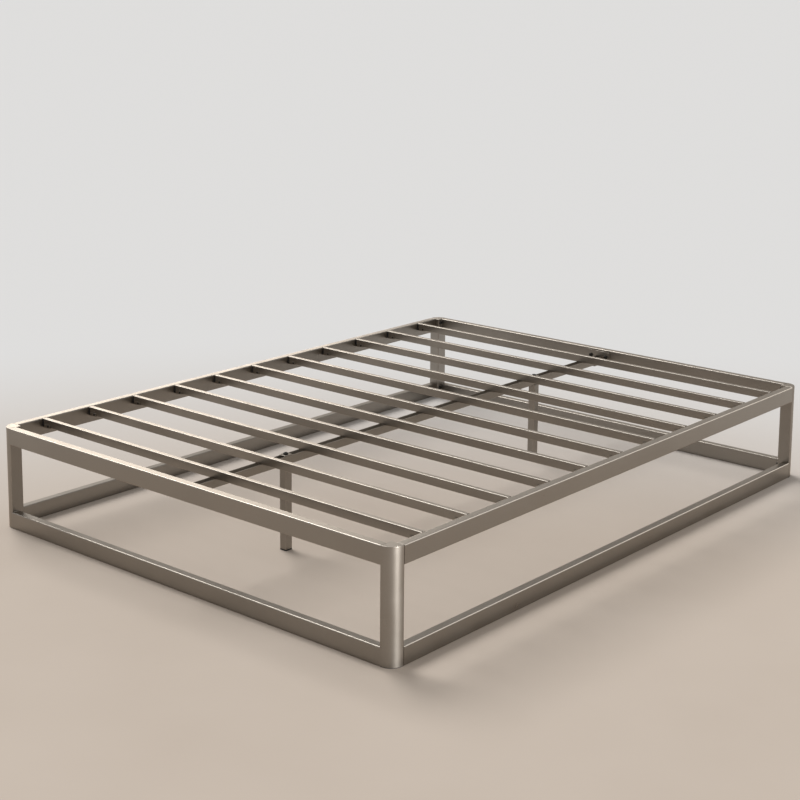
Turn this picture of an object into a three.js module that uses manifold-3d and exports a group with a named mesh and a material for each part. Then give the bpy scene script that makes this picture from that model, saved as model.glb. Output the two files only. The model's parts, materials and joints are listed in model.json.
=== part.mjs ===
// Low steel platform bed frame: welded end frames, bolted side rails, cross slats and a supported spine.
// Units are millimetres. Origin on the floor at the centre of the footprint.
// +X runs across the bed to its right side, +Y along it to the head end, +Z up.
import * as THREE from 'three';
import { mergeVertices } from 'three/addons/utils/BufferGeometryUtils.js';
import Module from 'manifold-3d';

const wasm = await Module();
wasm.setup();

// ---------- driving dimensions ----------
const LENGTH = 2020;
const WIDTH = 1524;
const HEIGHT = 305;
const SEAM = 0.3; // gap left at every face where two pieces meet

const POST = { size: 42, outerRadius: 38, edgeRadius: 3, wall: 2 };
const RAIL = { height: 50, depth: 25, wall: 1.5, radius: 3 };
const SLAT = { width: 15, height: 25, wall: 1.2, radius: 2, count: 11, pitch: 174 };
const SPINE = { size: 25, wall: 2 };
const LEG = { size: 25, wall: 1.5, radius: 2, offset: 595, topWall: 3 };
const CAP = { lip: 4, plug: 16, slack: 0.4 };
const SADDLE = { length: 36, sheet: 2, cheek: 14 };
const TONGUE = { root: 30, reach: 28, height: 40, sheet: 3, holeRise: 11.5 };
const BRACKET = { width: 94, height: 38, sheet: 3, holeX: 31, shelf: 40 };
const PLATE = { width: 25, length: 28, sheet: 2.5 };
const BOLT = { shank: 4, head: 7, headHeight: 5, bevel: 1, clearance: 0.3, sides: 10 };
const SHANK = { bracket: 14, tongue: 24, leg: 44 };

// ---------- levels and offsets that follow from them ----------
const halfX = WIDTH / 2;
const halfY = LENGTH / 2;
const railInnerX = halfX - RAIL.depth;
const railInnerY = halfY - RAIL.depth;
const postInnerX = halfX - POST.size;
const postInnerY = halfY - POST.size;
const slatBottom = HEIGHT - SLAT.height;
const spineTop = slatBottom;
const spineBottom = spineTop - SPINE.size;
const topRailMid = HEIGHT - RAIL.height / 2;
const lowRailMid = RAIL.height / 2;
const tongueInner = railInnerX + RAIL.wall / 2;
const tongueOuter = tongueInner + TONGUE.sheet;
const tongueBoltY = (postInnerY + railInnerY) / 2;

// ---------- finishes ----------
const metal = (color, roughness) => new THREE.MeshStandardMaterial({ color, roughness, metalness: 0.6 });
const finishes = {
  frame: () => metal(0x8d8070, 0.42),
  spine: () => metal(0x7d7265, 0.45),
  bolt: () => metal(0x26231f, 0.5),
  cap: () => new THREE.MeshStandardMaterial({ color: 0x1a1918, roughness: 0.75, metalness: 0 }),
};

// ---------- outlines ----------
/** Closed rounded rectangle centred on the origin, as a path any shape can use. */
function traceRectangle(path, width, height, radius) {
  const x = width / 2;
  const y = height / 2;
  path.moveTo(x, -y + radius);
  path.lineTo(x, y - radius);
  path.absarc(x - radius, y - radius, radius, 0, Math.PI / 2);
  path.lineTo(-x + radius, y);
  path.absarc(-x + radius, y - radius, radius, Math.PI / 2, Math.PI);
  path.lineTo(-x, -y + radius);
  path.absarc(-x + radius, -y + radius, radius, Math.PI, Math.PI * 1.5);
  path.lineTo(x - radius, -y);
  path.absarc(x - radius, -y + radius, radius, Math.PI * 1.5, Math.PI * 2);
  return path;
}

/** Points of a quarter circle about a centre, from a start angle counted in quarter turns. */
function quarter(x, y, radius, turns, steps) {
  return Array.from({ length: steps + 1 }, (_, i) => {
    const angle = (turns + i / steps) * (Math.PI / 2);
    return new THREE.Vector2(x + radius * Math.cos(angle), y + radius * Math.sin(angle));
  });
}

/** Post outline with its wide outer corner in the +X +Y quarter, inset evenly for the inside. */
function postOutline(inset) {
  const size = POST.size / 2 - inset;
  const wide = POST.outerRadius - inset;
  const small = Math.max(POST.edgeRadius - inset, 1);
  const near = size - small;
  return new THREE.Shape([
    ...quarter(size - wide, size - wide, wide, 0, 10),
    ...quarter(-near, near, small, 1, 2),
    ...quarter(-near, -near, small, 2, 2),
    ...quarter(near, -near, small, 3, 2),
  ]);
}

function extrude(shape, depth) {
  return new THREE.ExtrudeGeometry(shape, { depth, bevelEnabled: false, curveSegments: 2, steps: 1 });
}

/** Hollow or solid bar of rounded rectangular section, centred, running along Z. */
function bar(width, height, length, radius, wall = 0) {
  const shape = traceRectangle(new THREE.Shape(), width, height, radius);
  if (wall > 0) {
    const inner = Math.max(radius - wall, 0.5);
    shape.holes.push(traceRectangle(new THREE.Path(), width - 2 * wall, height - 2 * wall, inner));
  }
  return extrude(shape, length).translate(0, 0, -length / 2);
}

const alongX = (geometry) => geometry.rotateY(Math.PI / 2).rotateX(Math.PI / 2);
const alongY = (geometry) => geometry.rotateX(Math.PI / 2);

/** Plain block given by its low and high corners. */
function block(low, high) {
  const size = high.map((value, i) => value - low[i]);
  const middle = high.map((value, i) => (value + low[i]) / 2);
  return new THREE.BoxGeometry(...size).translate(...middle);
}

/** Round cutter for a bolt hole, along Z, centred. */
function drill(length) {
  const radius = BOLT.shank + BOLT.clearance;
  return new THREE.CylinderGeometry(radius, radius, length, BOLT.sides).rotateX(Math.PI / 2);
}

// ---------- booleans ----------
function toSolid(geometry) {
  const bare = geometry.clone();
  bare.deleteAttribute('normal');
  bare.deleteAttribute('uv');
  const welded = mergeVertices(bare, 1e-4);
  const mesh = new wasm.Mesh({
    numProp: 3,
    vertProperties: new Float32Array(welded.attributes.position.array),
    triVerts: new Uint32Array(welded.index.array),
  });
  return new wasm.Manifold(mesh);
}

/** Joins the added geometries, then cuts the removed ones away. */
function carve(added, removed = []) {
  let solid = toSolid(added[0]);
  for (const geometry of added.slice(1)) {
    solid = solid.add(toSolid(geometry));
  }
  for (const geometry of removed) {
    solid = solid.subtract(toSolid(geometry));
  }
  const mesh = solid.getMesh();
  const result = new THREE.BufferGeometry();
  result.setAttribute('position', new THREE.BufferAttribute(new Float32Array(mesh.vertProperties), 3));
  result.setIndex(new THREE.BufferAttribute(new Uint32Array(mesh.triVerts), 1));
  result.computeVertexNormals();
  return result;
}

// ---------- pieces ----------
/** Button head bolt along +Z: the head's underside is at z = 0 and the shank runs down. */
function boltGeometry(shankLength) {
  const profile = [
    new THREE.Vector2(0, -shankLength),
    new THREE.Vector2(BOLT.shank, -shankLength),
    new THREE.Vector2(BOLT.shank, 0),
    new THREE.Vector2(BOLT.head, 0),
    new THREE.Vector2(BOLT.head, BOLT.headHeight - BOLT.bevel),
    new THREE.Vector2(BOLT.head - BOLT.bevel, BOLT.headHeight),
    new THREE.Vector2(0, BOLT.headHeight),
  ];
  return new THREE.LatheGeometry(profile, BOLT.sides).rotateX(Math.PI / 2);
}

/** Corner post with slots and bolt holes for the side rails' tongues. sx and sy pick the corner. */
function postGeometry(sx, sy) {
  const low = -1;
  const shell = extrude(postOutline(0), HEIGHT);
  const hollow = extrude(postOutline(POST.wall), HEIGHT - POST.wall - low).translate(0, 0, low);
  const centreX = halfX - POST.size / 2;
  const centreY = halfY - POST.size / 2;
  shell.translate(centreX, centreY, 0);
  hollow.translate(centreX, centreY, 0);
  const removed = [hollow];
  const half = TONGUE.height / 2 + SEAM;
  for (const level of [lowRailMid, topRailMid]) {
    const slotLow = [tongueInner - SEAM, postInnerY - POST.wall, level - half];
    const slotHigh = [tongueOuter + SEAM, postInnerY + 2 * POST.wall, level + half];
    removed.push(block(slotLow, slotHigh));
    for (const rise of [-TONGUE.holeRise, TONGUE.holeRise]) {
      const cutter = drill(4 * POST.wall).rotateY(Math.PI / 2);
      removed.push(cutter.translate(postInnerX, tongueBoltY, level + rise));
    }
  }
  return mirrored(carve([shell], removed), sx, sy);
}

/** Mirrors a geometry in X and Y, and turns its triangles over where that leaves them facing in. */
function mirrored(geometry, sx, sy) {
  geometry.scale(sx, sy, 1);
  if (sx * sy < 0) {
    const index = geometry.index.array;
    for (let i = 0; i < index.length; i += 3) {
      [index[i], index[i + 1]] = [index[i + 1], index[i]];
    }
  }
  geometry.computeVertexNormals();
  return geometry;
}

/** Side rail on the +X side with a tongue in each end, and saddles under the slats if it is the top one. */
function sideRailGeometry(level, slatCentres) {
  const length = 2 * (postInnerY - SEAM);
  const x = halfX - RAIL.depth / 2;
  const added = [alongY(bar(RAIL.depth, RAIL.height, length, RAIL.radius, RAIL.wall)).translate(x, 0, level)];
  const removed = [];
  const half = TONGUE.height / 2;
  for (const sy of [-1, 1]) {
    const inTube = sy * (postInnerY - TONGUE.root);
    const inPost = sy * (postInnerY + TONGUE.reach);
    const tongueLow = [tongueInner, Math.min(inTube, inPost), level - half];
    const tongueHigh = [tongueOuter, Math.max(inTube, inPost), level + half];
    added.push(block(tongueLow, tongueHigh));
    for (const rise of [-TONGUE.holeRise, TONGUE.holeRise]) {
      const cutter = drill(4 * TONGUE.sheet).rotateY(Math.PI / 2);
      removed.push(cutter.translate(tongueInner, sy * tongueBoltY, level + rise));
    }
  }
  const root = railInnerX + RAIL.wall / 2;
  const tip = railInnerX - SADDLE.length;
  const inside = SLAT.width / 2 + SEAM;
  const outside = inside + SADDLE.sheet;
  const seat = slatBottom - SEAM;
  for (const y of slatCentres) {
    added.push(block([tip, y - outside, seat - SADDLE.sheet], [root, y + outside, seat]));
    for (const side of [-1, 1]) {
      const near = Math.min(side * inside, side * outside);
      added.push(block([tip, y + near, seat - 1], [root, y + near + SADDLE.sheet, seat + SADDLE.cheek]));
    }
  }
  return carve(added, removed);
}

/** Open topped channel that runs under the slats from end to end. */
function spineGeometry() {
  const half = SPINE.size / 2;
  const inner = half - SPINE.wall;
  const floor = SPINE.wall - half;
  const shape = new THREE.Shape([
    new THREE.Vector2(-half, -half),
    new THREE.Vector2(half, -half),
    new THREE.Vector2(half, half),
    new THREE.Vector2(inner, half),
    new THREE.Vector2(inner, floor),
    new THREE.Vector2(-inner, floor),
    new THREE.Vector2(-inner, half),
    new THREE.Vector2(-half, half),
  ]);
  const length = 2 * (railInnerY - 2 * SEAM - BRACKET.sheet);
  const channel = alongY(extrude(shape, length).translate(0, 0, -length / 2));
  channel.translate(0, 0, spineBottom + half - SEAM);
  const holes = [-1, 1].map((sy) => drill(6 * SPINE.wall).translate(0, sy * LEG.offset, spineBottom));
  return carve([channel], holes);
}

/** Plate on the end rail's inner face with a shelf for the channel's end; made for the +Y end. */
function bracketGeometry() {
  const back = railInnerY - SEAM;
  const front = back - BRACKET.sheet;
  const half = BRACKET.height / 2;
  const shelfTop = spineBottom - 2 * SEAM;
  const wide = BRACKET.width / 2;
  const narrow = SPINE.size / 2;
  const shelfBottom = shelfTop - BRACKET.sheet;
  const plate = block([-wide, front, topRailMid - half], [wide, back, topRailMid + half]);
  const apron = block([-narrow, front, shelfBottom], [narrow, back, topRailMid]);
  const shelf = block([-narrow, front - BRACKET.shelf, shelfBottom], [narrow, back, shelfTop]);
  const holes = [-1, 1].map((side) => {
    const cutter = drill(4 * BRACKET.sheet).rotateX(Math.PI / 2);
    return cutter.translate(side * BRACKET.holeX, back, topRailMid);
  });
  return carve([plate, apron, shelf], holes);
}

/** End rail along X, with two bolt holes in its inner wall if it carries the channel. */
function endRailGeometry(level, carriesSpine) {
  const length = 2 * (postInnerX - SEAM);
  const y = halfY - RAIL.depth / 2;
  const tube = alongX(bar(RAIL.depth, RAIL.height, length, RAIL.radius, RAIL.wall));
  tube.translate(0, y, level);
  if (!carriesSpine) {
    return tube;
  }
  const holes = [-1, 1].map((side) => {
    const cutter = drill(6 * RAIL.wall).rotateX(Math.PI / 2);
    return cutter.translate(side * BRACKET.holeX, railInnerY, level);
  });
  return carve([tube], holes);
}

/** Square leg, closed at the top except for its bolt hole and open at the foot. */
function legGeometry() {
  const low = CAP.lip + SEAM;
  const high = spineBottom - 2 * SEAM;
  const inside = LEG.size - 2 * LEG.wall;
  const outer = extrude(traceRectangle(new THREE.Shape(), LEG.size, LEG.size, LEG.radius), high - low);
  const inner = extrude(traceRectangle(new THREE.Shape(), inside, inside, 1), high - low - LEG.topWall + 1);
  outer.translate(0, 0, low);
  inner.translate(0, 0, low - 1);
  return carve([outer], [inner, drill(4 * LEG.topWall).translate(0, 0, high)]);
}

/** Plastic foot with a lip under the tube and a plug inside it. */
function capGeometry() {
  const inside = LEG.size - 2 * LEG.wall - 2 * CAP.slack;
  const lip = extrude(traceRectangle(new THREE.Shape(), LEG.size, LEG.size, LEG.radius), CAP.lip);
  const plug = extrude(traceRectangle(new THREE.Shape(), inside, inside, 1), CAP.plug + 1);
  plug.translate(0, 0, CAP.lip - 1);
  return carve([lip, plug]);
}

/** Clamp plate that bridges the channel above a leg. */
function plateGeometry() {
  const x = PLATE.width / 2;
  const y = PLATE.length / 2;
  const plate = block([-x, -y, spineTop], [x, y, spineTop + PLATE.sheet]);
  return carve([plate], [drill(4 * PLATE.sheet).translate(0, 0, spineTop)]);
}

// ---------- assembly ----------
const bed = new THREE.Group();
bed.name = 'bed_frame';

function place(parent, name, geometry, finish, position = [0, 0, 0], rotation = [0, 0, 0]) {
  const mesh = new THREE.Mesh(geometry, finishes[finish]());
  mesh.name = name;
  mesh.position.set(...position);
  mesh.rotation.set(...rotation);
  parent.add(mesh);
}

const sides = [{ name: 'left', sign: -1 }, { name: 'right', sign: 1 }];
const ends = [{ name: 'foot', sign: -1 }, { name: 'head', sign: 1 }];
const levels = [{ name: 'low', height: lowRailMid }, { name: 'top', height: topRailMid }];
const slatCentres = [];
for (let i = 0; i < SLAT.count; i += 1) {
  slatCentres.push((i - (SLAT.count - 1) / 2) * SLAT.pitch);
}

// End frames: two posts and two rails each.
for (const end of ends) {
  const frame = new THREE.Group();
  frame.name = `${end.name}_end_frame`;
  bed.add(frame);
  for (const side of sides) {
    place(frame, `${end.name}_${side.name}_post`, postGeometry(side.sign, end.sign), 'frame');
  }
  for (const level of levels) {
    const geometry = endRailGeometry(level.height, level.name === 'top');
    const turned = end.sign > 0 ? 0 : Math.PI;
    place(frame, `${end.name}_end_rail_${level.name}`, geometry, 'frame', [0, 0, 0], [0, 0, turned]);
  }
}

// Side rails and the bolts that hold their tongues inside the posts.
for (const side of sides) {
  for (const level of levels) {
    const centres = level.name === 'top' ? slatCentres : [];
    const geometry = sideRailGeometry(level.height, centres);
    const turned = side.sign > 0 ? 0 : Math.PI;
    place(bed, `${side.name}_side_rail_${level.name}`, geometry, 'frame', [0, 0, 0], [0, 0, turned]);
    for (const end of ends) {
      [-TONGUE.holeRise, TONGUE.holeRise].forEach((rise, i) => {
        const name = `${end.name}_${side.name}_${level.name}_bolt_${i + 1}`;
        const position = [side.sign * (postInnerX - SEAM), end.sign * tongueBoltY, level.height + rise];
        place(bed, name, boltGeometry(SHANK.tongue), 'bolt', position, [0, (-side.sign * Math.PI) / 2, 0]);
      });
    }
  }
}

// Slats across the top.
const slatLength = 2 * (railInnerX - 2 * SEAM);
slatCentres.forEach((y, i) => {
  const name = `slat_${String(i + 1).padStart(2, '0')}`;
  const tube = alongX(bar(SLAT.width, SLAT.height, slatLength, SLAT.radius, SLAT.wall));
  place(bed, name, tube, 'frame', [0, y, HEIGHT - SLAT.height / 2]);
});

// Channel under the slats, its end brackets and their bolts.
place(bed, 'centre_rail', spineGeometry(), 'spine');
for (const end of ends) {
  const turned = end.sign > 0 ? 0 : Math.PI;
  place(bed, `${end.name}_centre_bracket`, bracketGeometry(), 'frame', [0, 0, 0], [0, 0, turned]);
  for (const side of sides) {
    const y = end.sign * (railInnerY - 2 * SEAM - BRACKET.sheet);
    const name = `${end.name}_bracket_bolt_${side.name}`;
    const position = [side.sign * BRACKET.holeX, y, topRailMid];
    place(bed, name, boltGeometry(SHANK.bracket), 'bolt', position, [(end.sign * Math.PI) / 2, 0, 0]);
  }
}

// Two centre legs, each with a foot cap, a clamp plate and one long bolt.
const legBoltSeat = spineTop + PLATE.sheet + SEAM;
for (const end of ends) {
  const y = end.sign * LEG.offset;
  place(bed, `${end.name}_support_leg`, legGeometry(), 'frame', [0, y, 0]);
  place(bed, `${end.name}_leg_foot_cap`, capGeometry(), 'cap', [0, y, 0]);
  place(bed, `${end.name}_leg_clamp_plate`, plateGeometry(), 'frame', [0, y, 0]);
  place(bed, `${end.name}_leg_bolt`, boltGeometry(SHANK.leg), 'bolt', [0, y, legBoltSeat]);
}

export default bed;
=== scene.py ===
"""Low metal platform bed frame: the finished pieces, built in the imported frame.

Every length is in metres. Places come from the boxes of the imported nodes, and the sizes that a
piece adds to its node, such as bend radii and weld beads, are dataclass fields of its class.
"""

import json
import logging
import math
from collections.abc import Callable, Sequence
from dataclasses import dataclass, field
from enum import Enum

import bmesh
import bpy
from mathutils import Matrix, Vector

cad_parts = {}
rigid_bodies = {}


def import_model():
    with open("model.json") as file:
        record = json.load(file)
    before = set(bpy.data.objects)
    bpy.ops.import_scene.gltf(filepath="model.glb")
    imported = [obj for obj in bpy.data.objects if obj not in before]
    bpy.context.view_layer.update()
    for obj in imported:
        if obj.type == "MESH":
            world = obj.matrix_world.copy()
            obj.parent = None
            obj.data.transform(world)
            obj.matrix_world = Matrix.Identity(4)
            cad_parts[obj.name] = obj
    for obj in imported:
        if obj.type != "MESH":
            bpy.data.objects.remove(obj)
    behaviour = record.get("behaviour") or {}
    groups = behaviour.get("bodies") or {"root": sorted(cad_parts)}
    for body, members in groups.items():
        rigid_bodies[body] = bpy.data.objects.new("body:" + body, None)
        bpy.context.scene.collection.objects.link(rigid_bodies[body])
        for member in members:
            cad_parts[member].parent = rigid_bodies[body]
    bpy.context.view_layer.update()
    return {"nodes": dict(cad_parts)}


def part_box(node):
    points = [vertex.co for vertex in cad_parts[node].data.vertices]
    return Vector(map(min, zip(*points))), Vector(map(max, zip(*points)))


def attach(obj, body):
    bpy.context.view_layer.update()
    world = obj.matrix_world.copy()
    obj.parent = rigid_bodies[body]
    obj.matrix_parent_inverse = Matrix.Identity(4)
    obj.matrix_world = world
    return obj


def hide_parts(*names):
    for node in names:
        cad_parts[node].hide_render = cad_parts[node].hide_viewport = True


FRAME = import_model()
BODY = "root"
MM = 0.001
EDGE_WEAR = "edge_wear"
WARM = (1.0, 0.985, 0.96)
LOG = logging.getLogger("bed_frame")

Point2 = tuple[float, float]
Colour = tuple[float, float, float]
Outline = Callable[[float], list[Point2]]
Profile = Sequence[tuple[float, float, bool]]
Socket = bpy.types.NodeSocket


class Side(Enum):
    """Left and right halves of the bed, with their sign along X."""

    LEFT = -1
    RIGHT = 1

    @property
    def word(self) -> str:
        """Name used in node names."""
        return self.name.lower()


class End(Enum):
    """Foot and head ends of the bed, with their sign along Y."""

    FOOT = -1
    HEAD = 1

    @property
    def word(self) -> str:
        """Name used in node names."""
        return self.name.lower()


class Level(Enum):
    """Lower and upper rail levels."""

    LOW = "low"
    TOP = "top"


class Axis(Enum):
    """Direction that a section is drawn out along."""

    X = "x"
    Y = "y"
    Z = "z"

    def place(self, u: float, v: float, w: float) -> Vector:
        """Puts section coordinates u, v and the distance w in the frame's axes.

        Args:
            u: First section coordinate, Y for a piece along X, otherwise X.
            v: Second section coordinate, Y for a piece along Z, otherwise Z.
            w: Distance along the piece.

        Returns:
            The point in the frame.
        """
        if self is Axis.X:
            return Vector((w, u, v))
        if self is Axis.Y:
            return Vector((u, w, v))
        return Vector((u, v, w))


class Slot(Enum):
    """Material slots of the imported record."""

    FRAME_PAINT = "frame_paint"
    BOLT_STEEL = "bolt_steel"
    FOOT_PLASTIC = "foot_plastic"


# ---------------------------------------------------------------------------
# Finishes
# ---------------------------------------------------------------------------


class NodeSheet:
    """Small helper that lays out shader nodes for one material."""

    def __init__(self, name: str) -> None:
        """Starts an empty material with a Principled shader on its output.

        Args:
            name: Material name.
        """
        self.material = bpy.data.materials.new(name)
        self.material.use_nodes = True
        self.nodes = self.material.node_tree.nodes
        self.links = self.material.node_tree.links
        self.nodes.clear()
        self.shader = self.nodes.new("ShaderNodeBsdfPrincipled")
        output = self.nodes.new("ShaderNodeOutputMaterial")
        self.links.new(self.shader.outputs["BSDF"], output.inputs["Surface"])
        self.place = self.nodes.new("ShaderNodeTexCoord").outputs["Object"]

    def noise(self, grain: float, detail: float = 2.0) -> Socket:
        """Adds soft noise over the surface.

        Args:
            grain: Size of its features in metres.
            detail: Octaves of finer noise.

        Returns:
            The noise value socket.
        """
        node = self.nodes.new("ShaderNodeTexNoise")
        node.inputs["Scale"].default_value = 1.0 / grain
        node.inputs["Detail"].default_value = detail
        self.links.new(self.place, node.inputs["Vector"])
        return node.outputs["Fac"]

    def flakes(self, grain: float) -> Socket:
        """Adds cells with a random value each, as pigment flakes have.

        Args:
            grain: Size of a flake in metres.

        Returns:
            The cells' colour socket, read as a value.
        """
        node = self.nodes.new("ShaderNodeTexVoronoi")
        node.inputs["Scale"].default_value = 1.0 / grain
        self.links.new(self.place, node.inputs["Vector"])
        return node.outputs["Color"]

    def remap(self, source: Socket, given: Point2, wanted: Point2) -> Socket:
        """Maps one range of a value to another.

        Args:
            source: Value socket to map.
            given: Range of the source.
            wanted: Range of the result.

        Returns:
            The mapped value socket.
        """
        node = self.nodes.new("ShaderNodeMapRange")
        node.inputs["From Min"].default_value = given[0]
        node.inputs["From Max"].default_value = given[1]
        node.inputs["To Min"].default_value = wanted[0]
        node.inputs["To Max"].default_value = wanted[1]
        self.links.new(source, node.inputs["Value"])
        return node.outputs["Result"]

    def spread(self, source: Socket, low: float, high: float) -> Socket:
        """Maps the middle half of a 0 to 1 value, where noise mostly lies, to a new range."""
        return self.remap(source, (0.25, 0.75), (low, high))

    def ramp(self, source: Socket, low: float, high: float) -> Socket:
        """Maps the whole of a 0 to 1 value to a new range."""
        return self.remap(source, (0.0, 1.0), (low, high))

    def blend(self, share: Socket, first: Socket | Colour, second: Colour) -> Socket:
        """Mixes two colours.

        Args:
            share: Share of the second colour.
            first: First colour, either one that varies or a plain one, linear.
            second: Second colour, linear.

        Returns:
            The mixed colour socket.
        """
        node = self.nodes.new("ShaderNodeMix")
        node.data_type = "RGBA"
        if isinstance(first, Socket):
            self.links.new(first, node.inputs["A"])
        else:
            node.inputs["A"].default_value = (*first, 1.0)
        node.inputs["B"].default_value = (*second, 1.0)
        self.links.new(share, node.inputs["Factor"])
        return node.outputs["Result"]

    def remoteness(self, centre: Point2, reach: Point2) -> Socket:
        """Rises softly from 0 to 1 with the distance from a point on the floor.

        Args:
            centre: X and Y of the point.
            reach: Distances where the rise starts and ends.

        Returns:
            The value socket.
        """
        length = self.nodes.new("ShaderNodeVectorMath")
        length.operation = "DISTANCE"
        length.inputs[1].default_value = (*centre, 0.0)
        self.links.new(self.place, length.inputs[0])
        ramp = self.nodes.new("ShaderNodeMapRange")
        ramp.interpolation_type = "SMOOTHSTEP"
        ramp.inputs["From Min"].default_value = reach[0]
        ramp.inputs["From Max"].default_value = reach[1]
        self.links.new(length.outputs["Value"], ramp.inputs["Value"])
        return ramp.outputs["Result"]

    def stored(self, name: str) -> Socket:
        """Reads a value that is stored on the mesh, 0 where there is none.

        Args:
            name: Name that it is stored under.

        Returns:
            The value socket.
        """
        node = self.nodes.new("ShaderNodeAttribute")
        node.attribute_name = name
        return node.outputs["Fac"]

    def combine(self, operation: str, first: Socket, second: Socket) -> Socket:
        """Works out one value from two.

        Args:
            operation: Name of the sum to do.
            first: One value socket.
            second: The other value socket.

        Returns:
            The result's socket.
        """
        node = self.nodes.new("ShaderNodeMath")
        node.operation = operation
        self.links.new(first, node.inputs[0])
        self.links.new(second, node.inputs[1])
        return node.outputs[0]

    def add(self, first: Socket, second: Socket) -> Socket:
        """Adds two values."""
        return self.combine("ADD", first, second)

    def multiply(self, first: Socket, second: Socket) -> Socket:
        """Multiplies two values."""
        return self.combine("MULTIPLY", first, second)

    def bump(self, height: Socket, depth: float, strength: float) -> None:
        """Raises the shading by a height value.

        Args:
            height: Height socket, 0 to 1.
            depth: Height in metres of a full step.
            strength: How much of it shows.
        """
        node = self.nodes.new("ShaderNodeBump")
        node.inputs["Distance"].default_value = depth
        node.inputs["Strength"].default_value = strength
        self.links.new(height, node.inputs["Height"])
        self.links.new(node.outputs["Normal"], self.shader.inputs["Normal"])

    def constant(self, socket: str, value: float | Sequence[float]) -> None:
        """Sets a shader socket that is the same all over."""
        self.shader.inputs[socket].default_value = value

    def drive(self, socket: str, source: Socket) -> None:
        """Links a value or colour to a shader socket."""
        self.links.new(source, self.shader.inputs[socket])


@dataclass(frozen=True)
class SatinPaint:
    """Champagne metallic powder coat with fine flake and a faint orange peel."""

    name: str
    light: Colour
    dark: Colour
    rubbed: Colour = (0.38, 0.34, 0.3)
    grazing: Colour = (0.94, 0.86, 0.78)
    metallic: float = 1.0
    roughness: float = 0.34
    roughness_drift: float = 0.04
    flake: float = 0.5 * MM
    peel: float = 3.5 * MM
    drift: float = 0.22
    rub: float = 14 * MM
    polish: float = 0.03
    flake_share: Point2 = (0.12, 0.5)
    drift_share: float = 0.42
    sparkle: float = 0.03
    rub_range: Point2 = (0.1, 0.9)
    peel_depth: float = 0.05 * MM
    peel_strength: float = 0.35

    def build(self) -> bpy.types.Material:
        """Makes the material.

        Returns:
            The material.
        """
        sheet = NodeSheet(self.name)
        flakes = sheet.flakes(self.flake)
        drift = sheet.noise(self.drift, 3.0)
        speckle = sheet.spread(flakes, *self.flake_share)
        share = sheet.add(speckle, sheet.spread(drift, 0.0, self.drift_share))
        edge = sheet.stored(EDGE_WEAR)
        worn = sheet.multiply(edge, sheet.spread(sheet.noise(self.rub, 4.0), *self.rub_range))
        paint = sheet.blend(share, self.light, self.dark)
        sheet.drive("Base Color", sheet.blend(worn, paint, self.rubbed))
        low, high = self.roughness - self.roughness_drift, self.roughness + self.roughness_drift
        haze = sheet.spread(sheet.noise(self.drift / 4, 3.0), low, high)
        sparkle = sheet.spread(flakes, -self.sparkle, self.sparkle)
        smoother = sheet.ramp(worn, 0.0, -self.polish)
        sheet.drive("Roughness", sheet.add(sheet.add(haze, sparkle), smoother))
        sheet.constant("Metallic", self.metallic)
        sheet.constant("Specular Tint", (*self.grazing, 1.0))
        sheet.bump(sheet.noise(self.peel, 2.0), self.peel_depth, self.peel_strength)
        return sheet.material


@dataclass(frozen=True)
class BlackOxide:
    """Blackened steel with oily patches and rubbed spots."""

    name: str = "black_oxide"
    light: Colour = (0.05, 0.046, 0.042)
    dark: Colour = (0.018, 0.017, 0.016)
    patch: float = 2.5 * MM
    smear: float = 1.2 * MM
    roughness: Point2 = (0.34, 0.55)
    metallic: float = 0.7
    grain: float = 0.6 * MM
    grain_depth: float = 0.03 * MM

    def build(self) -> bpy.types.Material:
        """Makes the material.

        Returns:
            The material.
        """
        sheet = NodeSheet(self.name)
        tone = sheet.spread(sheet.noise(self.patch, 4.0), 0.0, 1.0)
        sheet.drive("Base Color", sheet.blend(tone, self.light, self.dark))
        sheet.drive("Roughness", sheet.spread(sheet.noise(self.smear, 3.0), *self.roughness))
        sheet.constant("Metallic", self.metallic)
        sheet.bump(sheet.noise(self.grain, 2.0), self.grain_depth, 0.4)
        return sheet.material


@dataclass(frozen=True)
class MouldedPlastic:
    """Matt black moulded plastic with a fine spark texture."""

    name: str = "moulded_plastic"
    light: Colour = (0.03, 0.03, 0.03)
    dark: Colour = (0.014, 0.014, 0.015)
    patch: float = 9 * MM
    scuff: float = 4 * MM
    roughness: Point2 = (0.55, 0.72)
    spark: float = 0.35 * MM
    spark_depth: float = 0.04 * MM

    def build(self) -> bpy.types.Material:
        """Makes the material.

        Returns:
            The material.
        """
        sheet = NodeSheet(self.name)
        tone = sheet.spread(sheet.noise(self.patch, 3.0), 0.0, 1.0)
        sheet.drive("Base Color", sheet.blend(tone, self.light, self.dark))
        sheet.drive("Roughness", sheet.spread(sheet.noise(self.scuff, 2.0), *self.roughness))
        sheet.bump(sheet.noise(self.spark, 1.0), self.spark_depth, 0.5)
        return sheet.material


@dataclass(frozen=True)
class PaleFloor:
    """Pale matt floor, warm around one point near the foot end and fading to grey beyond it."""

    name: str = "pale_floor"
    light: Colour = (0.575, 0.5, 0.435)
    dark: Colour = (0.54, 0.466, 0.402)
    far: Colour = (0.7, 0.7, 0.705)
    centre: Point2 = (1.7, -2.2)
    fade: Point2 = (2.4, 5.0)
    patch: float = 0.6
    scuff: float = 0.05
    roughness: Point2 = (0.85, 0.95)

    def build(self) -> bpy.types.Material:
        """Makes the material.

        Returns:
            The material.
        """
        sheet = NodeSheet(self.name)
        tone = sheet.spread(sheet.noise(self.patch, 4.0), 0.0, 1.0)
        near = sheet.blend(tone, self.light, self.dark)
        away = sheet.remoteness(self.centre, self.fade)
        sheet.drive("Base Color", sheet.blend(away, near, self.far))
        sheet.drive("Roughness", sheet.spread(sheet.noise(self.scuff, 2.0), *self.roughness))
        sheet.constant("Specular IOR Level", 0.0)
        return sheet.material


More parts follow.
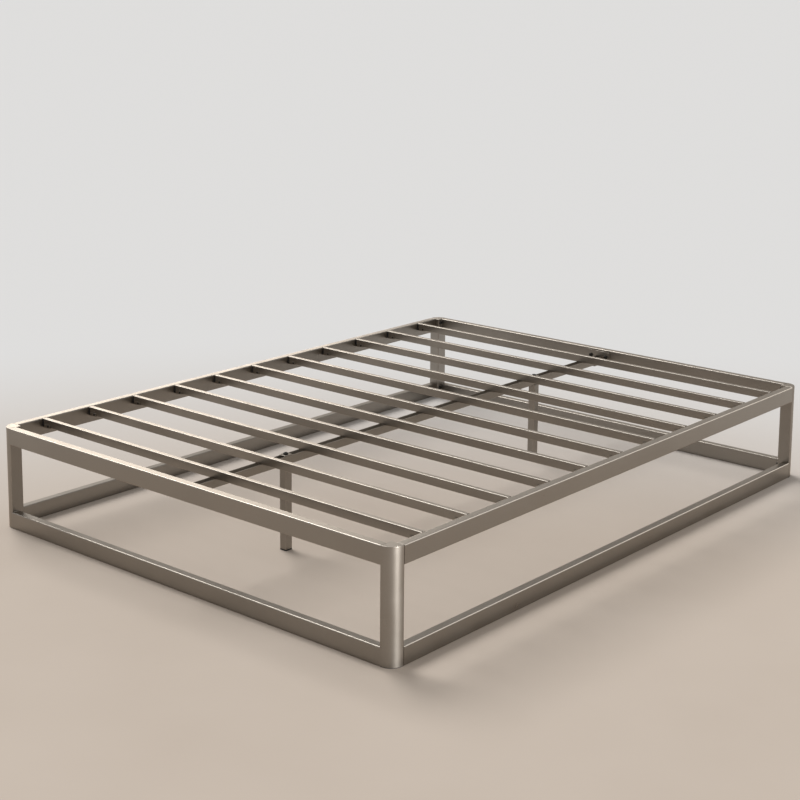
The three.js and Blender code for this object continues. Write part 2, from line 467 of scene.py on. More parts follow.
class Finish(Enum):
    """Finishes of the bed and its stage."""

    FRAME = SatinPaint("champagne_satin", (0.325, 0.3, 0.27), (0.27, 0.248, 0.222))
    # Lightened copy of the frame paint for the centre channel. It is less metallic and a touch
    # browner, so the shade inside the channel reads lighter: painted light, not a different paint.
    SPINE = SatinPaint(
        "bronze_satin",
        (0.32, 0.285, 0.245),
        (0.265, 0.235, 0.2),
        metallic=0.5,
        roughness=0.42,
    )
    BOLT = BlackOxide()
    PLASTIC = MouldedPlastic()
    FLOOR = PaleFloor()

    def material(self) -> bpy.types.Material:
        """Returns the finish's material, made once."""
        return bpy.data.materials.get(self.value.name) or self.value.build()


# ---------------------------------------------------------------------------
# Outlines and shells
# ---------------------------------------------------------------------------


def quarter(x: float, y: float, radius: float, turns: float, steps: int) -> list[Point2]:
    """Points of a quarter circle.

    Args:
        x: Centre, first coordinate.
        y: Centre, second coordinate.
        radius: Radius.
        turns: Start angle in quarter turns.
        steps: Number of chords.

    Returns:
        The points, counter-clockwise.
    """
    angles = [(turns + i / steps) * math.pi / 2 for i in range(steps + 1)]
    return [(x + radius * math.cos(a), y + radius * math.sin(a)) for a in angles]


@dataclass(frozen=True)
class RoundedBar:
    """Rounded rectangular section whose corners may differ: +u+v, -u+v, -u-v, +u-v."""

    width: float
    height: float
    radii: tuple[float, float, float, float]
    steps: int = 5
    centre: Point2 = (0.0, 0.0)
    widest_edge: float = 6 * MM
    chord_length: float = 1.6 * MM

    def chords(self, radius: float) -> int:
        """Number of chords to a corner of this radius."""
        return max(self.steps, round(radius / self.chord_length))

    def edge_shares(self) -> list[float]:
        """Tells where the outline's edges are.

        Returns:
            One value for each point of the outline, 1 on the crest of an edge and 0 on a flat or
            a wide bend.
        """
        shares: list[float] = []
        for radius in self.radii:
            steps = self.chords(radius)
            crest = 1.0 if radius < self.widest_edge else 0.0
            shares += [crest * math.sin(math.pi * i / steps) for i in range(steps + 1)]
        return shares

    def __call__(self, inset: float) -> list[Point2]:
        """Outline drawn in by an even amount.

        Args:
            inset: Distance inside the section's true outline.

        Returns:
            The outline's points, counter-clockwise, always the same number.
        """
        half_u, half_v = self.width / 2 - inset, self.height / 2 - inset
        points: list[Point2] = []
        for turn, (sign_u, sign_v) in enumerate(((1, 1), (-1, 1), (-1, -1), (1, -1))):
            radius = max(self.radii[turn] - inset, 0.1 * MM)
            u = self.centre[0] + sign_u * (half_u - radius)
            v = self.centre[1] + sign_v * (half_v - radius)
            points += quarter(u, v, radius, turn, self.chords(self.radii[turn]))
        return points


def even_bar(low: Vector, high: Vector, axis: Axis, radius: float, steps: int = 5) -> RoundedBar:
    """Section of a bar that fills a box seen along an axis.

    Args:
        low: Box's lowest corner.
        high: Box's highest corner.
        axis: Direction of the bar.
        radius: Radius of its four long edges.
        steps: Chords to a corner.

    Returns:
        The section, centred where the box is.
    """
    first, second = {Axis.X: (1, 2), Axis.Y: (0, 2), Axis.Z: (0, 1)}[axis]
    centre = ((low[first] + high[first]) / 2, (low[second] + high[second]) / 2)
    size = (high[first] - low[first], high[second] - low[second])
    return RoundedBar(size[0], size[1], (radius,) * 4, steps, centre)


def channel_outline(width: float, height: float, sheet: float, bend: float) -> list[Point2]:
    """Outline of sheet bent to a U that opens upward, standing on v = 0.

    Args:
        width: Outside width.
        height: Outside height.
        sheet: Sheet thickness.
        bend: Outside bend radius.

    Returns:
        The outline's points.
    """
    half, inner = width / 2, bend - sheet
    outside = quarter(-half + bend, bend, bend, 2, 5) + quarter(half - bend, bend, bend, 3, 5)
    inside = quarter(-half + bend, bend, inner, 2, 4) + quarter(half - bend, bend, inner, 3, 4)
    rim_out = [(half, height), (half - sheet, height)]
    rim_back = [(-half + sheet, height), (-half, height)]
    return outside + rim_out + inside[::-1] + rim_back


class Shells:
    """Closed shells gathered into one piece."""

    rim_steps = 4
    sharp_edge = math.radians(50)
    crease = math.radians(40)
    bead_sides = 8
    bead_step = 0.9 * MM
    bead_ripple = 2.7 * MM
    bead_swell = 0.14

    def __init__(self, name: str) -> None:
        """Starts a piece with no shells.

        Args:
            name: Object name of the piece.
        """
        self.name = name
        self.mesh = bmesh.new()
        self.wear = self.mesh.verts.layers.float.new(EDGE_WEAR)

    def rings(
        self,
        rings: Sequence[Sequence[Vector]],
        wear: Sequence[Sequence[float]] | None = None,
    ) -> list[bmesh.types.BMFace]:
        """Joins rings of equal length into a closed shell with flat ends.

        Args:
            rings: Rings of points from one end to the other.
            wear: How much each point lies on an edge; nowhere if it isn't given.

        Returns:
            The shell's faces.
        """
        rows = [[self.mesh.verts.new(point) for point in ring] for ring in rings]
        for row, shares in zip(rows, wear or ()):
            for vert, share in zip(row, shares):
                vert[self.wear] = share
        faces = []
        for first, second in zip(rows, rows[1:]):
            for i in range(len(first)):
                j = (i + 1) % len(first)
                faces.append(self.mesh.faces.new((first[i], first[j], second[j], second[i])))
        faces.append(self.mesh.faces.new(rows[0][::-1]))
        faces.append(self.mesh.faces.new(rows[-1]))
        bmesh.ops.recalc_face_normals(self.mesh, faces=faces)
        return faces

    def bar(
        self,
        section: Outline,
        axis: Axis,
        low: float,
        high: float,
        rounds: tuple[float, float] = (0.5 * MM, 0.5 * MM),
    ) -> None:
        """Draws a section out along an axis and rounds its two ends.

        Args:
            section: Section as a function of its inset.
            axis: Direction of the bar.
            low: Where it starts.
            high: Where it ends.
            rounds: End radii at its start and its end; 0 leaves a sharp end.
        """
        stations: list[tuple[float, float, float]] = []
        for end, radius, inward in ((low, rounds[0], 1), (high, rounds[1], -1)):
            curve = self.end_curve(end, radius, inward)
            stations += curve if inward > 0 else curve[::-1]
        rings = [[axis.place(u, v, w) for u, v in section(inset)] for w, inset, _ in stations]
        shares = section.edge_shares() if isinstance(section, RoundedBar) else [0.0] * len(rings[0])
        wear = [[max(share, rim) for share in shares] for _, _, rim in stations]
        self.rings(rings, wear)

    def end_curve(self, end: float, radius: float, inward: int) -> list[tuple[float, float, float]]:
        """Rounds one end of a bar.

        Args:
            end: Where the bar ends.
            radius: Radius of its rim; 0 leaves it sharp.
            inward: Way into the bar, 1 or -1.

        Returns:
            Place along the bar, inset of the section and closeness to the rim's crest, end first.
        """
        if radius <= 0:
            return [(end, 0.0, 0.0)]
        curve = []
        for i in range(self.rim_steps + 1):
            share = i / self.rim_steps
            angle = share * math.pi / 2
            rise = radius * (1 - math.cos(angle))
            inset = radius * (1 - math.sin(angle))
            curve.append((end + inward * rise, inset, math.sin(math.pi * share)))
        return curve

    def sheet(
        self,
        outline: Sequence[Point2],
        axis: Axis,
        low: float,
        high: float,
        soften: float,
    ) -> None:
        """Draws a fixed outline out along an axis and softens its sharp edges.

        Args:
            outline: Outline points.
            axis: Direction of the piece.
            low: Where it starts.
            high: Where it ends.
            soften: Width of the softening on its sharp edges.
        """
        faces = self.rings([[axis.place(u, v, w) for u, v in outline] for w in (low, high)])
        edges = {edge for face in faces for edge in face.edges}
        sharp = [edge for edge in edges if edge.calc_face_angle(0.0) > self.sharp_edge]
        bmesh.ops.bevel(
            self.mesh,
            geom=sharp,
            offset=soften,
            segments=2,
            profile=0.5,
            affect="EDGES",
            clamp_overlap=True,
        )

    def bead(self, start: Vector, end: Vector, radius: float) -> None:
        """Lays a weld bead with overlapping ripples between two points.

        Args:
            start: First end of the bead.
            end: Second end of the bead.
            radius: Bead radius.
        """
        run = end - start
        count = max(8, round(run.length / self.bead_step))
        turn = Vector((0, 0, 1)).rotation_difference(run.normalized()).to_matrix()
        angles = [2 * math.pi * k / self.bead_sides for k in range(self.bead_sides)]
        rings = []
        for i in range(count + 1):
            share = i / count
            wave = math.cos(2 * math.pi * share * run.length / self.bead_ripple)
            ripple = 1 + self.bead_swell * wave
            close = min(1.0, 0.25 + min(share, 1 - share) * run.length / radius)
            size = radius * ripple * close
            spokes = [Vector((size * math.cos(a), size * math.sin(a), 0)) for a in angles]
            rings.append([start + run * share + turn @ spoke for spoke in spokes])
        self.rings(rings)

    def turned(self, profile: Profile, place: Matrix, sides: int = 24) -> None:
        """Turns a profile round an axis; a ring may be hexagonal instead of round.

        Args:
            profile: Radius, height and whether the ring is hexagonal, from bottom to top.
            place: Puts the turned shape, standing along Z, where it belongs.
            sides: Points in a ring, a multiple of six.
        """
        rings = []
        for radius, height, hexagonal in profile:
            ring = []
            for i in range(sides):
                angle = 2 * math.pi * i / sides
                flat = math.cos(angle % (math.pi / 3) - math.pi / 6)
                reach = radius / flat if hexagonal else radius
                spoke = Vector((reach * math.cos(angle), reach * math.sin(angle), height))
                ring.append(place @ spoke)
            rings.append(ring)
        self.rings(rings)

    def finish(self, finish: Finish, slot: Slot, *nodes: str) -> bpy.types.Object:
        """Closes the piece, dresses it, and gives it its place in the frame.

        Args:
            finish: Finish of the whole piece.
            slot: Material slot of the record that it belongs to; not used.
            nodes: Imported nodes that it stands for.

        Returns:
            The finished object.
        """
        mesh = bpy.data.meshes.new(self.name)
        self.mesh.to_mesh(mesh)
        self.mesh.free()
        mesh.shade_smooth()
        mesh.set_sharp_from_angle(angle=self.crease)
        piece = bpy.data.objects.new(self.name, mesh)
        bpy.context.scene.collection.objects.link(piece)
        mesh.materials.append(finish.material())
        weighted = piece.modifiers.new("even_normals", "WEIGHTED_NORMAL")
        weighted.keep_sharp = True
        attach(piece, BODY)
        if nodes:
            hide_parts(*nodes)
        LOG.info("%s: %d faces", self.name, len(mesh.polygons))
        return piece


def node_box(name: str) -> tuple[Vector, Vector]:
    """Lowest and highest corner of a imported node.

    Args:
        name: Node name.

    Returns:
        The two corners.
    """
    low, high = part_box(name)
    return Vector(low), Vector(high)


# ---------------------------------------------------------------------------
# Sub-assemblies
# ---------------------------------------------------------------------------


@dataclass
class CornerPost:
    """Corner post with a wide rounded outer corner and a floor plug."""

    end: End
    side: Side
    size: float = 42 * MM
    outer_radius: float = 38 * MM
    edge_radius: float = 3 * MM
    foot_gap: float = 1.2 * MM
    plug_inset: float = 0.6 * MM
    plug_height: float = 3 * MM
    finish: Finish = Finish.FRAME

    def __post_init__(self) -> None:
        """Reads the post's own corner of the frame."""
        self.node = f"{self.end.word}_{self.side.word}_post"
        self.low, self.high = node_box(self.node)

    def outer_corner(self) -> Point2:
        """Finds the outer corner of the post on the floor.

        Returns:
            Its X and Y.
        """
        x = self.high.x if self.side is Side.RIGHT else self.low.x
        y = self.high.y if self.end is End.HEAD else self.low.y
        return x, y

    def section(self) -> RoundedBar:
        """Draws the section with the wide radius on the outer corner.

        Returns:
            The section.
        """
        x, y = self.outer_corner()
        centre = (x - self.side.value * self.size / 2, y - self.end.value * self.size / 2)
        quarters = ((1, 1), (-1, 1), (-1, -1), (1, -1))
        own = (self.side.value, self.end.value)
        radii = tuple(self.outer_radius if pair == own else self.edge_radius for pair in quarters)
        return RoundedBar(self.size, self.size, radii, 4, centre)

    def make_post(self) -> bpy.types.Object:
        """Makes the capped tube.

        Returns:
            The post.
        """
        shells = Shells(f"{self.node}_finished")
        section = self.section()
        shells.bar(section, Axis.Z, self.low.z + self.foot_gap, self.high.z, (0.8 * MM, 1.2 * MM))
        return shells.finish(self.finish, Slot.FRAME_PAINT, self.node)

    def make_plug(self) -> bpy.types.Object:
        """Makes the plastic plug that closes the post at the floor.

        Returns:
            The plug.
        """
        shells = Shells(f"{self.node}_floor_plug")
        section = self.section()
        shells.bar(lambda inset: section(inset + self.plug_inset), Axis.Z, 0.0, self.plug_height)
        return shells.finish(Finish.PLASTIC, Slot.FOOT_PLASTIC)

    def build(self) -> None:
        """Builds the post and its plug."""
        self.make_post()
        self.make_plug()


@dataclass
class EndRail:
    """Rectangular tube welded between the two posts of an end frame."""

    end: End
    level: Level
    radius: float = 3 * MM
    bite: float = 3.3 * MM
    bead_radius: float = 1.8 * MM
    bead_margin: float = 4 * MM
    finish: Finish = Finish.FRAME

    def build(self) -> bpy.types.Object:
        """Builds the rail and its weld beads.

        Returns:
            The rail.
        """
        node = f"{self.end.word}_end_rail_{self.level.value}"
        low, high = node_box(node)
        shells = Shells(f"{node}_finished")
        section = even_bar(low, high, Axis.X, self.radius)
        shells.bar(section, Axis.X, low.x - self.bite, high.x + self.bite, (0.0, 0.0))
        inner = low.y if self.end is End.HEAD else high.y
        outer = high.y if self.end is End.HEAD else low.y
        under = low.z if self.level is Level.TOP else high.z
        deep = self.end.value
        for x in (low.x, high.x):
            foot = Vector((x, inner, low.z + self.bead_margin))
            shells.bead(foot, Vector((x, inner, high.z - self.bead_margin)), self.bead_radius)
            near = Vector((x, inner + deep * 3 * MM, under))
            shells.bead(near, Vector((x, outer - deep * 5 * MM, under)), self.bead_radius)
        return shells.finish(self.finish, Slot.FRAME_PAINT, node)


@dataclass
class SideRail:
    """Rectangular tube bolted between the end frames, with slat saddles on the upper one."""

    side: Side
    level: Level
    slats: tuple[float, ...]
    radius: float = 3 * MM
    depth: float = 25 * MM
    slat_width: float = 15 * MM
    seat: float = 24.7 * MM
    saddle_length: float = 36 * MM
    sheet: float = 2 * MM
    bend: float = 2.6 * MM
    cheek: float = 10 * MM
    relief: float = 8 * MM
    gap: float = 0.3 * MM
    bead_radius: float = 1.2 * MM
    screw_reach: float = 9 * MM
    screw_rise: float = 5 * MM
    finish: Finish = Finish.FRAME

    def build(self) -> None:
        """Builds the rail, and its saddles and their screws if it carries slats."""
        node = f"{self.side.word}_side_rail_{self.level.value}"
        low, high = node_box(node)
        outer = high.x if self.side is Side.RIGHT else low.x
        inner = outer - self.side.value * self.depth
        corners = (Vector((min(outer, inner), 0, low.z)), Vector((max(outer, inner), 0, high.z)))
        section = even_bar(*corners, Axis.Y, self.radius)
        start = node_box(f"{End.FOOT.word}_{self.side.word}_post")[1].y + self.gap
        stop = node_box(f"{End.HEAD.word}_{self.side.word}_post")[0].y - self.gap
        shells = Shells(f"{node}_finished")
        shells.bar(section, Axis.Y, start, stop, (0.6 * MM, 0.6 * MM))
        if self.level is Level.TOP:
            screws = Shells(f"{self.side.word}_saddle_screws")
            for y in self.slats:
                self.add_saddle(shells, screws, inner, y, high.z - self.seat - self.gap)
            screws.finish(Finish.BOLT, Slot.BOLT_STEEL)
        shells.finish(self.finish, Slot.FRAME_PAINT, node)

    def add_saddle(
        self,
        shells: Shells,
        screws: Shells,
        inner: float,
        y: float,
        seat: float,
    ) -> None:
        """Adds the saddle under one slat end, and the screw through its foot side cheek.

        Args:
            shells: Rail piece that the saddle is welded to.
            screws: Piece that gathers the screws.
            inner: X of the rail's inner face.
            y: Middle of the slat.
            seat: Height of the slat's underside.
        """
        side = self.side.value
        tip = inner - side * self.saddle_length
        relief = inner - side * self.relief
        width = self.slat_width + 2 * (self.gap + self.sheet)
        floor = seat - self.sheet
        outline = channel_outline(width, self.cheek + self.sheet, self.sheet, self.bend)
        placed = [(y + u, floor + v) for u, v in outline]
        start, stop = sorted((tip, relief))
        shells.sheet(placed, Axis.X, start, stop, 0.5 * MM)
        centre = (y, floor + self.sheet / 2)
        plate = RoundedBar(width - 2 * self.bend, self.sheet, (0.4 * MM,) * 4, 2, centre)
        start, stop = sorted((relief - side * 1 * MM, inner + side * 0.5 * MM))
        shells.bar(plate, Axis.X, start, stop, (0.0, 0.0))
        bead_y = width / 2 - self.bend
        drop = Vector((inner, y, floor))
        across = Vector((0, bead_y, 0))
        shells.bead(drop - across, drop + across, self.bead_radius)
        head = Vector((tip + side * self.screw_reach, y - width / 2, seat + self.screw_rise))
        screw = SocketBolt(head=3.4 * MM, rise=2 * MM, socket=1.3 * MM)
        screw.add(screws, head, Vector((0, -1, 0)))


@dataclass
class Slat:
    """Cross slat: a tube on edge with a plastic sleeve at each end, open at the top."""

    number: int
    radius: float = 2 * MM
    sleeve: float = 5 * MM
    proud: float = 0.25 * MM
    open_top: float = 2.5 * MM
    finish: Finish = Finish.FRAME

    def build(self) -> None:
        """Builds the slat and its end sleeves."""
        node = f"slat_{self.number:02d}"
        low, high = node_box(node)
        section = even_bar(low, high, Axis.X, self.radius, 4)
        shells = Shells(f"{node}_finished")
        shells.bar(section, Axis.X, low.x, high.x, (0.4 * MM, 0.4 * MM))
        shells.finish(self.finish, Slot.FRAME_PAINT, node)
        sleeves = Shells(f"{node}_end_sleeves")
        middle = (section.centre[0], section.centre[1] - self.open_top / 2)
        height = section.height - self.open_top
        width = section.width + 2 * self.proud
        grown = RoundedBar(width, height, section.radii, section.steps, middle)
        for start, stop in ((low.x, low.x + self.sleeve), (high.x - self.sleeve, high.x)):
            sleeves.bar(grown, Axis.X, start, stop, (0.6 * MM, 0.6 * MM))
        sleeves.finish(Finish.PLASTIC, Slot.FOOT_PLASTIC)


@dataclass
class SocketBolt:
    """Button head bolt with a hexagon socket."""

    head: float = 7 * MM
    rise: float = 5 * MM
    socket: float = 2.6 * MM

    def profile(self) -> list[tuple[float, float, bool]]:
        """Draws the head from its seat to the bottom of its socket.

        Returns:
            Profile rings, the socket's hexagonal.
        """
        crown = [(self.head, 0.0, False)]
        last = math.pi / 2.6
        for i in range(6):
            angle = i / 5 * last
            reach = self.head * 0.52 + self.head * 0.48 * math.cos(angle)
            height = self.rise * (0.3 + 0.7 * math.sin(angle) / math.sin(last))
            crown.append((reach, height, False))
        depth = self.rise * 0.45
        well = [
            (self.socket * 1.22, self.rise, False),
            (self.socket * 1.08, self.rise - 0.15 * self.rise, True),
            (self.socket, self.rise - 0.2 * self.rise, True),
            (self.socket, depth, True),
            (self.socket * 0.3, depth * 0.85, False),
        ]
        return crown + well

    def add(self, shells: Shells, seat: Vector, direction: Vector) -> None:
        """Adds the head to a piece.

        Args:
            shells: Piece that it joins.
            seat: Middle of the head's underside.
            direction: Way that the head points.
        """
        turn = Vector((0, 0, 1)).rotation_difference(direction).to_matrix().to_4x4()
        shells.turned(self.profile(), Matrix.Translation(seat) @ turn)


@dataclass
class NodeBolt:
    """One packed bolt, finished with a socket head and a threaded shank."""

    node: str
    direction: Vector
    shank: float = 4 * MM
    head: float = 7 * MM
    rise: float = 5 * MM
    pitch: float = 1.25 * MM
    thread_depth: float = 0.55 * MM
    sides: int = 18

    def build(self) -> bpy.types.Object:
        """Builds the bolt.

        Returns:
            The bolt.
        """
        low, high = node_box(self.node)
        middle = (low + high) / 2
        reach = [abs(value) for value in self.direction]
        along = reach.index(max(reach))
        half = (high[along] - low[along]) / 2
        seat = middle + self.direction * (half - self.rise)
        shells = Shells(f"{self.node}_finished")
        SocketBolt(self.head, self.rise).add(shells, seat, self.direction)
        turn = Vector((0, 0, 1)).rotation_difference(-self.direction).to_matrix().to_4x4()
        place = Matrix.Translation(seat) @ turn
        shells.turned(self.thread(2 * half - self.rise), place, self.sides)
        return shells.finish(Finish.BOLT, Slot.BOLT_STEEL, self.node)

    def thread(self, length: float) -> list[tuple[float, float, bool]]:
        """Shank profile with thread ridges.

        Args:
            length: Shank length.

        Returns:
            Profile rings from the head to the tip.
        """
        root = self.shank - self.thread_depth
        profile = [(self.shank, -0.3 * MM, False), (self.shank, 1.5 * MM, False)]
        count = int((length - 3 * MM) / self.pitch)
        for i in range(count):
            height = 2 * MM + i * self.pitch
            profile += [(root, height, False), (self.shank, height + self.pitch / 2, False)]
        profile += [(root, length - 0.6 * MM, False), (root - 0.6 * MM, length, False)]
        return profile


@dataclass
class CentreSpine:
    """Open topped channel under the slats with a bracket at each end."""

    sheet: float = 2 * MM
    bend: float = 3.5 * MM
    plate: float = 3 * MM
    plate_height: float = 38 * MM
    apron_lap: float = 6 * MM
    bead_radius: float = 1.5 * MM

    def build(self) -> None:
        """Builds the channel, its brackets and their bolts."""
        self.make_channel()
        for end in End:
            self.make_bracket(end)
            for side in Side:
                node = f"{end.word}_bracket_bolt_{side.word}"
                NodeBolt(node, Vector((0, -end.value, 0))).build()

    def make_channel(self) -> bpy.types.Object:
        """Makes the channel.

        Returns:
            The channel.
        """
        low, high = node_box("centre_rail")
        outline = channel_outline(high.x - low.x, high.z - low.z, self.sheet, self.bend)
        middle = (low.x + high.x) / 2
        shells = Shells("centre_rail_finished")
        placed = [(middle + u, low.z + v) for u, v in outline]
        shells.sheet(placed, Axis.Y, low.y, high.y, 0.4 * MM)
        # The channel takes the lightened copy of the frame paint, which lifts the shade inside it:
        # painted light.
        return shells.finish(Finish.SPINE, Slot.FRAME_PAINT, "centre_rail")

    def make_bracket(self, end: End) -> bpy.types.Object:
        """Makes one end bracket: a plate, an apron and a shelf, welded together.

        Args:
            end: End of the bed that it is at.

        Returns:
            The bracket.
        """
        node = f"{end.word}_centre_bracket"
        low, high = node_box(node)
        rail_low, rail_high = node_box("centre_rail")
        back = high.y if end is End.HEAD else low.y
        front = back - end.value * self.plate
        tip = low.y if end is End.HEAD else high.y
        shelf_top = low.z + self.plate
        half = (rail_high.x - rail_low.x) / 2
        plate_low = high.z - self.plate_height
        shells = Shells(f"{node}_finished")
        middle = (0.0, (plate_low + high.z) / 2)
        plate = RoundedBar(high.x - low.x, high.z - plate_low, (6 * MM,) * 4, 6, middle)
        depth = sorted((back, front))
        shells.bar(plate, Axis.Y, depth[0], depth[1], (0.5 * MM, 0.5 * MM))
        apron_top = plate_low + self.apron_lap
        middle = (0.0, (apron_top + low.z) / 2)
        apron = RoundedBar(2 * half, apron_top - low.z, (1 * MM,) * 4, 3, middle)
        shells.bar(apron, Axis.Y, depth[0], depth[1], (0.4 * MM, 0.4 * MM))
        run = sorted((front + end.value * 1 * MM, tip))
        middle = (0.0, (run[0] + run[1]) / 2)
        shelf = RoundedBar(2 * half, run[1] - run[0], (2.5 * MM,) * 4, 5, middle)
        shells.bar(shelf, Axis.Z, low.z, shelf_top, (0.4 * MM, 0.4 * MM))
        corner = Vector((0, front, low.z))
        reach = Vector((half - 2 * MM, 0, 0))
        shells.bead(corner - reach, corner + reach, self.bead_radius)
        return shells.finish(Finish.FRAME, Slot.FRAME_PAINT, node)


@dataclass
class SupportLeg:
    """Centre leg with its foot cap, clamp plate and long bolt."""

    end: End
    radius: float = 2 * MM
    top_plate: float = 3 * MM
    lip: float = 4 * MM
    rib_pitch: float = 4 * MM
    rib_count: int = 4
    rib_inset: float = 2.1 * MM
    core_inset: float = 3.2 * MM

    def build(self) -> None:
        """Builds the leg and what is bolted to it."""
        self.make_leg()
        self.make_cap()
        self.make_plate()
        NodeBolt(f"{self.end.word}_leg_bolt", Vector((0, 0, 1))).build()

    def make_leg(self) -> bpy.types.Object:
        """Makes the tube with its welded top plate.

        Returns:
            The leg.
        """
        node = f"{self.end.word}_support_leg"
        low, high = node_box(node)
        section = even_bar(low, high, Axis.Z, self.radius, 5)
        shells = Shells(f"{node}_finished")
        joint = high.z - self.top_plate
        shells.bar(section, Axis.Z, low.z, joint, (0.3 * MM, 0.5 * MM))
        rounds = (0.4 * MM, 0.4 * MM)
        shells.bar(lambda inset: section(inset + 0.2 * MM), Axis.Z, joint, high.z, rounds)
        return shells.finish(Finish.FRAME, Slot.FRAME_PAINT, node)

    def make_cap(self) -> bpy.types.Object:
        """Makes the plastic foot: a lip with a soft edge and a ribbed plug.

        Returns:
            The foot cap.
        """
        node = f"{self.end.word}_leg_foot_cap"
        low, high = node_box(node)
        section = even_bar(low, high, Axis.Z, self.radius, 5)
        shells = Shells(f"{node}_finished")
        lip = low.z + self.lip
        shells.bar(section, Axis.Z, low.z, lip, (1.0 * MM, 0.4 * MM))
        for i in range(self.rib_count):
            rib = lip - 0.2 * MM + i * self.rib_pitch
            core = rib + 2 * MM
            shells.bar(lambda inset: section(inset + self.rib_inset), Axis.Z, rib, rib + 2.4 * MM)
            shells.bar(lambda inset: section(inset + self.core_inset), Axis.Z, core, rib + 4.2 * MM)
        return shells.finish(Finish.PLASTIC, Slot.FOOT_PLASTIC, node)

    def make_plate(self) -> bpy.types.Object:
        """Makes the clamp plate over the channel.

        Returns:
            The plate.
        """
        node = f"{self.end.word}_leg_clamp_plate"
        low, high = node_box(node)
        section = even_bar(low, high, Axis.Z, 3 * MM, 5)
        shells = Shells(f"{node}_finished")
        shells.bar(section, Axis.Z, low.z, high.z, (0.4 * MM, 0.6 * MM))
        return shells.finish(Finish.FRAME, Slot.FRAME_PAINT, node)


@dataclass
class BedFrame:
    """The whole bed frame."""

    slat_count: int = 11
    bolts_per_tongue: int = 2
    slat_places: tuple[float, ...] = field(init=False)

    def __post_init__(self) -> None:
        """Reads where the slats lie."""
        boxes = [node_box(f"slat_{number:02d}") for number in range(1, self.slat_count + 1)]
        self.slat_places = tuple((low.y + high.y) / 2 for low, high in boxes)

    def build(self) -> None:
        """Builds every sub-assembly in order."""
        for end in End:
            for side in Side:
                CornerPost(end, side).build()
            for level in Level:
                EndRail(end, level).build()
        for side in Side:
            for level in Level:
                SideRail(side, level, self.slat_places).build()
                self.make_tongue_bolts(side, level)
        for number in range(1, self.slat_count + 1):
            Slat(number).build()
        CentreSpine().build()
        for end in End:
            SupportLeg(end).build()

    def make_tongue_bolts(self, side: Side, level: Level) -> None:
        """Builds the bolts that hold one side rail.

        Args:
            side: Side of the bed.
            level: Level of the rail.
        """
        inward = Vector((-side.value, 0, 0))
        for end in End:
            for number in range(1, self.bolts_per_tongue + 1):
                NodeBolt(f"{end.word}_{side.word}_{level.value}_bolt_{number}", inward).build()


# ---------------------------------------------------------------------------
# Stage, light and camera
# ---------------------------------------------------------------------------


@dataclass
class SoftLight:
    """One broad soft light from one direction, on the whole scene or on chosen pieces only.

    Heading, height and spread are in degrees. A piece is chosen if its name holds one of the words.
    """

    name: str
    heading: float
    height: float
    spread: float
    strength: float
    colour: Colour = (1.0, 1.0, 1.0)
    only: tuple[str, ...] = ()

    def build(self) -> bpy.types.Object:
        """Makes the light, and keeps it to the pieces that it is meant for.

        Returns:
            The light's object.
        """
        data = bpy.data.lights.new(self.name, "SUN")
        data.energy = self.strength
        data.angle = math.radians(self.spread)
        data.color = self.colour
        heading, height = math.radians(self.heading), math.radians(self.height)
        level = math.cos(height)
        source = Vector((level * math.cos(heading), level * math.sin(heading), math.sin(height)))
        light = bpy.data.objects.new(self.name, data)
        light.rotation_euler = (-source).to_track_quat("-Z", "Y").to_euler()
        bpy.context.scene.collection.objects.link(light)
        if self.only:
            lit = bpy.data.collections.new(f"{self.name}_pieces")
            for piece in bpy.data.objects:
                if any(word in piece.name for word in self.only):
                    lit.objects.link(piece)
            light.light_linking.receiver_collection = lit
        return light


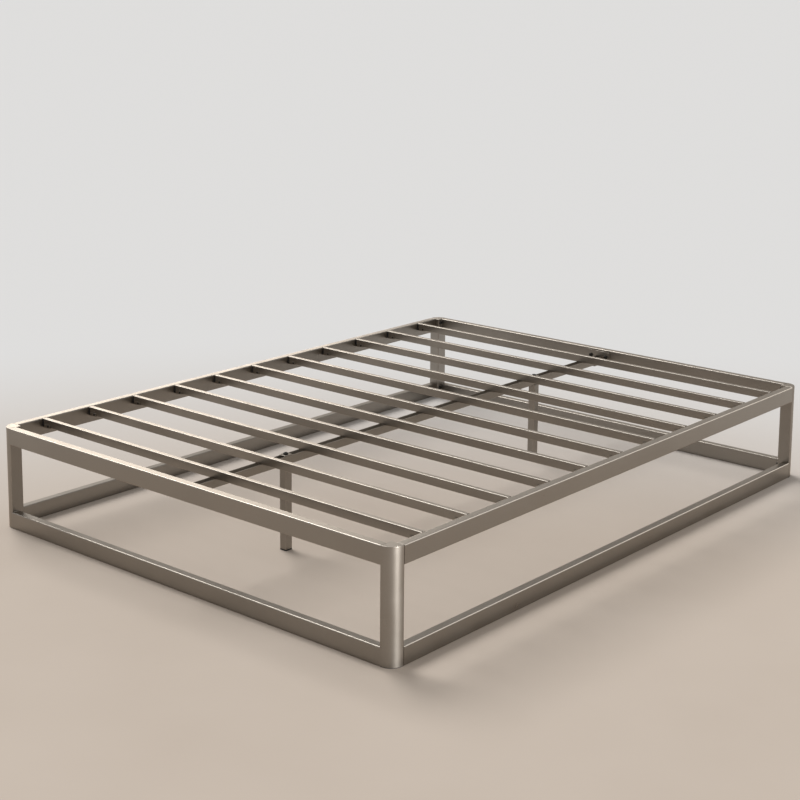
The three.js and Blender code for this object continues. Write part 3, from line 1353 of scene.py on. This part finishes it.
@dataclass
class Studio:
    """Pale floor that meets a pale surround with a dimmer ceiling, and soft lights."""

    floor_reach: float = 300.0
    horizon: Colour = (0.74, 0.74, 0.735)
    overhead: Colour = (0.48, 0.475, 0.465)
    rise: Point2 = (0.05, 0.45)
    lights: tuple[SoftLight, ...] = (
        SoftLight("window_glow", 150.0, 7.0, 38.0, 1.0, WARM, ("rail_top", "slat_", "_post")),
        SoftLight("key", 165.0, 49.0, 32.0, 2.3, (1.0, 0.99, 0.97)),
        SoftLight("post_strip", -8.0, 3.0, 14.0, 7.5, WARM, ("foot_right_post",)),
        SoftLight("rail_fill", 50.0, 10.0, 90.0, 2.4, WARM, ("right_side_rail",)),
    )

    def build(self) -> None:
        """Makes the floor, the surround and the lights."""
        self.make_floor()
        self.make_surround()
        for light in self.lights:
            light.build()

    def make_floor(self) -> bpy.types.Object:
        """Makes the floor.

        Returns:
            The floor.
        """
        mesh = bpy.data.meshes.new("floor")
        reach = self.floor_reach
        corners = [(-reach, -reach, 0), (reach, -reach, 0), (reach, reach, 0), (-reach, reach, 0)]
        mesh.from_pydata(corners, [], [(0, 1, 2, 3)])
        floor = bpy.data.objects.new("floor", mesh)
        bpy.context.scene.collection.objects.link(floor)
        mesh.materials.append(Finish.FLOOR.material())
        return floor

    def make_surround(self) -> None:
        """Gives the world its pale tone, dimmer overhead than at the horizon."""
        world = bpy.data.worlds.new("surround")
        world.use_nodes = True
        nodes, links = world.node_tree.nodes, world.node_tree.links
        split = nodes.new("ShaderNodeSeparateXYZ")
        links.new(nodes.new("ShaderNodeTexCoord").outputs["Generated"], split.inputs["Vector"])
        rise = nodes.new("ShaderNodeMapRange")
        rise.interpolation_type = "SMOOTHSTEP"
        rise.inputs["From Min"].default_value = self.rise[0]
        rise.inputs["From Max"].default_value = self.rise[1]
        links.new(split.outputs["Z"], rise.inputs["Value"])
        tone = nodes.new("ShaderNodeMix")
        tone.data_type = "RGBA"
        tone.inputs["A"].default_value = (*self.horizon, 1.0)
        tone.inputs["B"].default_value = (*self.overhead, 1.0)
        links.new(rise.outputs["Result"], tone.inputs["Factor"])
        links.new(tone.outputs["Result"], nodes["Background"].inputs["Color"])
        bpy.context.scene.world = world
        bpy.context.scene.view_settings.view_transform = "Standard"


@dataclass
class Viewpoint:
    """Camera at eye height off the foot end's right corner, tilted a little down."""

    eye: tuple[float, float, float] = (3.1692, -3.8071, 1.6836)
    heading: float = 40.563
    tilt: float = 9.874
    roll: float = 0.45
    lens: float = 74.32
    sensor: float = 36.0
    drop: float = -0.2

    def build(self) -> bpy.types.Object:
        """Makes the camera and gives it to the scene.

        Returns:
            The camera.
        """
        data = bpy.data.cameras.new("view")
        data.lens = self.lens
        data.sensor_width = self.sensor
        data.shift_y = self.drop
        heading, tilt = math.radians(self.heading), math.radians(self.tilt)
        roll = math.radians(self.roll)
        ahead = math.cos(tilt)
        forward = Vector((-math.sin(heading) * ahead, math.cos(heading) * ahead, -math.sin(tilt)))
        level = Vector((math.cos(heading), math.sin(heading), 0.0))
        upright = level.cross(forward)
        right = level * math.cos(roll) + upright * math.sin(roll)
        up = upright * math.cos(roll) - level * math.sin(roll)
        turn = Matrix((right, up, -forward)).transposed().to_4x4()
        camera = bpy.data.objects.new("view", data)
        camera.matrix_world = Matrix.Translation(self.eye) @ turn
        bpy.context.scene.collection.objects.link(camera)
        bpy.context.scene.camera = camera
        return camera


def main() -> None:
    """Builds the bed, its stage and its camera."""
    logging.basicConfig(level=logging.INFO, format="%(name)s: %(message)s")
    BedFrame().build()
    Studio().build()
    Viewpoint().build()


if __name__ == "__main__":
    main()
